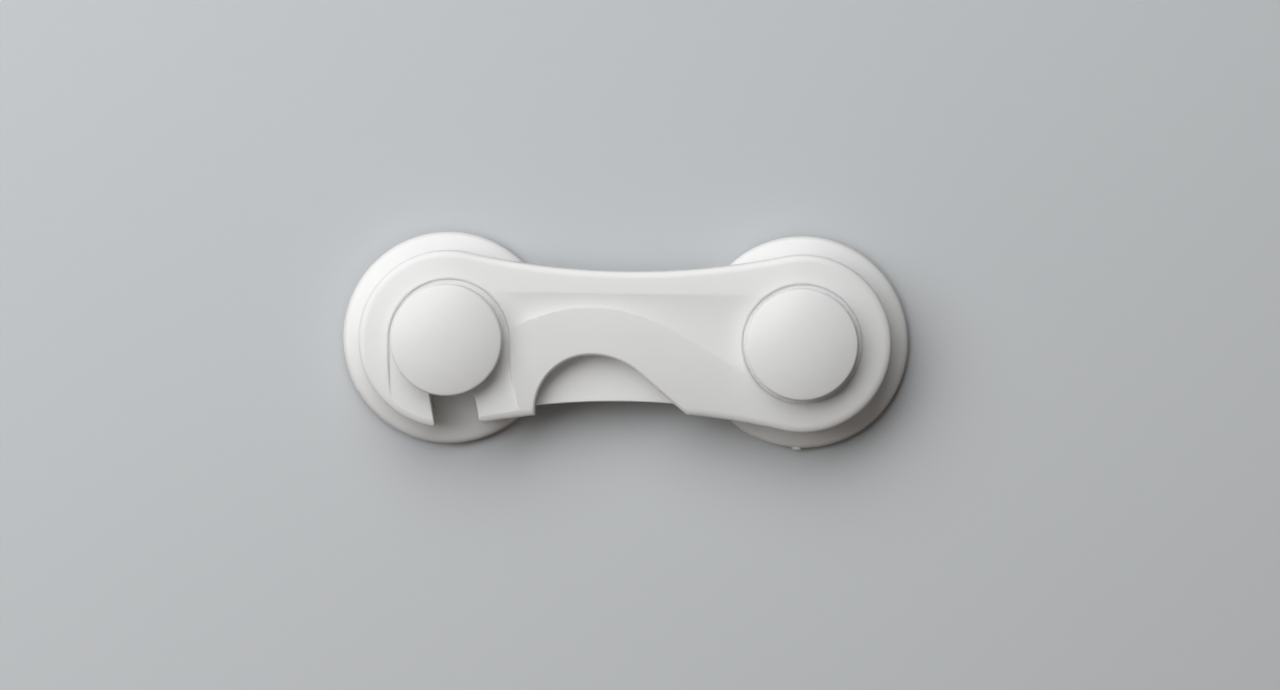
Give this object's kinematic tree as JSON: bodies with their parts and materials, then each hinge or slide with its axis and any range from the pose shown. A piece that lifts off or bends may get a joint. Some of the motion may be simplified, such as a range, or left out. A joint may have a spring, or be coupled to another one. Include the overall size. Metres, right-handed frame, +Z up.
{
  "type": "cabinet safety lock",
  "caption": "Child-safety cabinet lock: a white arm swings on a stick-on disc, and its slotted hook drops over the capped neck of a matching disc.",
  "frame": {"origin": "middle of the hinge-side pad's back face, on the door", "axes": "+Y into the door, out of the part's back; X along the arm with the hinge at 0 and the catch at -70 mm; +Z up"},
  "size_m": [0.112, 0.0168, 0.0424],
  "materials": {
    "white_plastic": "fine satin moulded ABS",
    "foam_tape": "closed-cell foam with adhesive faces",
    "screw_steel": "zinc-plated"
  },
  "bodies": {
    "bases": {"hinge_pad": "foam_tape", "hinge_base": "white_plastic", "hinge_screw": "screw_steel", "hinge_cap": "white_plastic", "catch_pad": "foam_tape", "catch_base": "white_plastic", "catch_screw": "screw_steel", "catch_cap": "white_plastic"},
    "arm": {"arm_cover": "white_plastic", "arm_back_plate": "white_plastic"}
  },
  "joints": [
    {"name": "arm_swing", "type": "hinge", "parent": "bases", "child": "arm", "pos_m": [0, -0.0081, 0], "axis": [0, 1, 0], "range_deg": [0, 180]}
  ]
}
